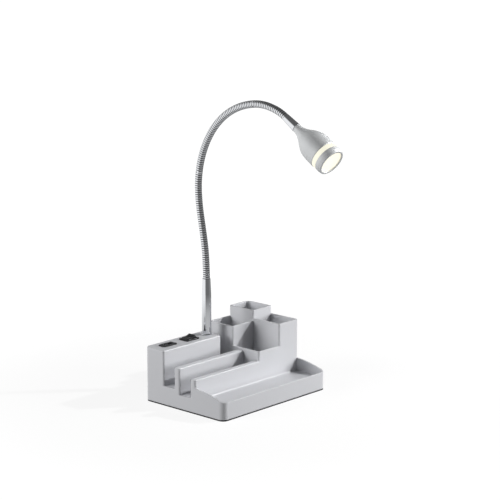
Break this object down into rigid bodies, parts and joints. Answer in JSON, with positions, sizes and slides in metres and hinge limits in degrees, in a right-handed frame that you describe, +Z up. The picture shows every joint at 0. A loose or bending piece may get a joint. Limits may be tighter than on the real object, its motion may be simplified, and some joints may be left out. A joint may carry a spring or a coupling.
{
  "type": "desk organizer with gooseneck lamp",
  "caption": "Moulded desk organiser with a sunk front tray, open slots and stepped pen cups, carrying a flexible chrome gooseneck with a bell-shaped LED reading lamp.",
  "frame": {"origin": "centre of the underside of the base, on the table", "axes": "+Z up, +X to the user's right along the length of the base, -Y towards the user, where the front tray is"},
  "size_m": [0.2, 0.2455, 0.3988],
  "materials": {
    "shell_grey": "satin",
    "plate_grey": "matte",
    "pad_black": "matte",
    "steel": "brushed",
    "board_green": "satin",
    "black_plastic": "satin",
    "switch_black": "glossy",
    "terminal_brass": "polished",
    "chrome": "polished",
    "head_silver": "satin",
    "heat_sink": "matte",
    "led_board_white": "matte",
    "led_yellow": "matte",
    "diffuser_white": "satin",
    "lens_frosted": "frosted",
    "optic_clear": "glossy"
  },
  "bodies": {
    "base": {"organizer_shell": "shell_grey", "bottom_plate": "plate_grey", "bottom_screws": "steel", "anti_slip_pad": "pad_black", "ballast_weight": "steel", "control_board": "board_green", "usb_bezel": "black_plastic", "usb_shell": "steel", "usb_tongue": "black_plastic", "switch_housing": "switch_black", "switch_terminals": "terminal_brass", "dc_inlet": "black_plastic", "dc_inlet_pin": "terminal_brass", "dc_inlet_nut": "steel", "stem_collar": "chrome", "stem_sleeve": "chrome", "stem_washer": "steel", "stem_nut": "steel", "neck_root": "chrome"},
    "switch_lever": {"switch_rocker": "switch_black"},
    "neck_01": {"neck_link_01": "chrome"},
    "neck_02": {"neck_link_02": "chrome"},
    "neck_03": {"neck_link_03": "chrome"},
    "neck_04": {"neck_link_04": "chrome"},
    "neck_05": {"neck_link_05": "chrome"},
    "neck_06": {"neck_link_06": "chrome"},
    "neck_07": {"neck_link_07": "chrome"},
    "neck_08": {"neck_link_08": "chrome"},
    "neck_09": {"neck_link_09": "chrome"},
    "neck_10": {"neck_link_10": "chrome"},
    "neck_11": {"neck_link_11": "chrome"},
    "head": {"neck_tip": "chrome", "head_ferrule": "chrome", "head_shell": "head_silver", "led_carrier": "heat_sink", "led_board": "led_board_white", "led_chip": "led_yellow", "diffuser_band": "diffuser_white", "head_ring": "head_silver", "front_lens": "lens_frosted", "spot_optic": "optic_clear"}
  },
  "joints": [
    {"name": "switch_tilt", "type": "hinge", "parent": "base", "child": "switch_lever", "pos_m": [-0.0347, 0.05345, 0.0718], "axis": [0, 1, 0], "range_deg": [0, 22]},
    {"name": "neck_bend_01", "type": "hinge", "parent": "base", "child": "neck_01", "pos_m": [-0.001, 0.05345, 0.1586], "axis": [1, 0, 0], "range_deg": [-8, 8]},
    {"name": "neck_lean_02", "type": "hinge", "parent": "neck_01", "child": "neck_02", "pos_m": [-0.001, 0.05503, 0.18876], "axis": [0, -0.9936, 0.1132], "range_deg": [-12, 12]},
    {"name": "neck_bend_03", "type": "hinge", "parent": "neck_02", "child": "neck_03", "pos_m": [-0.001, 0.06028, 0.2185], "axis": [1, 0, 0], "range_deg": [-8, 8]},
    {"name": "neck_bend_04", "type": "hinge", "parent": "neck_03", "child": "neck_04", "pos_m": [-0.001, 0.06604, 0.24815], "axis": [1, 0, 0], "range_deg": [-8, 8]},
    {"name": "neck_bend_05", "type": "hinge", "parent": "neck_04", "child": "neck_05", "pos_m": [-0.001, 0.06814, 0.27827], "axis": [1, 0, 0], "range_deg": [-10, 8]},
    {"name": "neck_lean_06", "type": "hinge", "parent": "neck_05", "child": "neck_06", "pos_m": [-0.001, 0.06342, 0.3081], "axis": [0, -0.9636, -0.2672], "range_deg": [-12, 12]},
    {"name": "neck_bend_07", "type": "hinge", "parent": "neck_06", "child": "neck_07", "pos_m": [-0.001, 0.05211, 0.3361], "axis": [1, 0, 0], "range_deg": [-10, 8]},
    {"name": "neck_bend_08", "type": "hinge", "parent": "neck_07", "child": "neck_08", "pos_m": [-0.001, 0.03435, 0.36053], "axis": [1, 0, 0], "range_deg": [-10, 8]},
    {"name": "neck_bend_09", "type": "hinge", "parent": "neck_08", "child": "neck_09", "pos_m": [-0.001, 0.01056, 0.37913], "axis": [1, 0, 0], "range_deg": [-12, 6]},
    {"name": "neck_lean_10", "type": "hinge", "parent": "neck_09", "child": "neck_10", "pos_m": [-0.001, -0.01744, 0.39044], "axis": [0, -0.2504, -0.9681], "range_deg": [-12, 12]},
    {"name": "neck_bend_11", "type": "hinge", "parent": "neck_10", "child": "neck_11", "pos_m": [-0.001, -0.04742, 0.39412], "axis": [1, 0, 0], "range_deg": [-12, 6]},
    {"name": "neck_bend_12", "type": "hinge", "parent": "neck_11", "child": "head", "pos_m": [-0.001, -0.07672, 0.38681], "axis": [1, 0, 0], "range_deg": [-12, 6]}
  ],
  "couplings": [
    {"joint": "neck_bend_03", "follows": "neck_bend_01", "ratio": 1},
    {"joint": "neck_bend_04", "follows": "neck_bend_01", "ratio": 1},
    {"joint": "neck_lean_06", "follows": "neck_lean_02", "ratio": 1},
    {"joint": "neck_bend_07", "follows": "neck_bend_05", "ratio": 1},
    {"joint": "neck_bend_08", "follows": "neck_bend_05", "ratio": 1},
    {"joint": "neck_lean_10", "follows": "neck_lean_02", "ratio": 1},
    {"joint": "neck_bend_11", "follows": "neck_bend_09", "ratio": 1},
    {"joint": "neck_bend_12", "follows": "neck_bend_09", "ratio": 1}
  ]
}
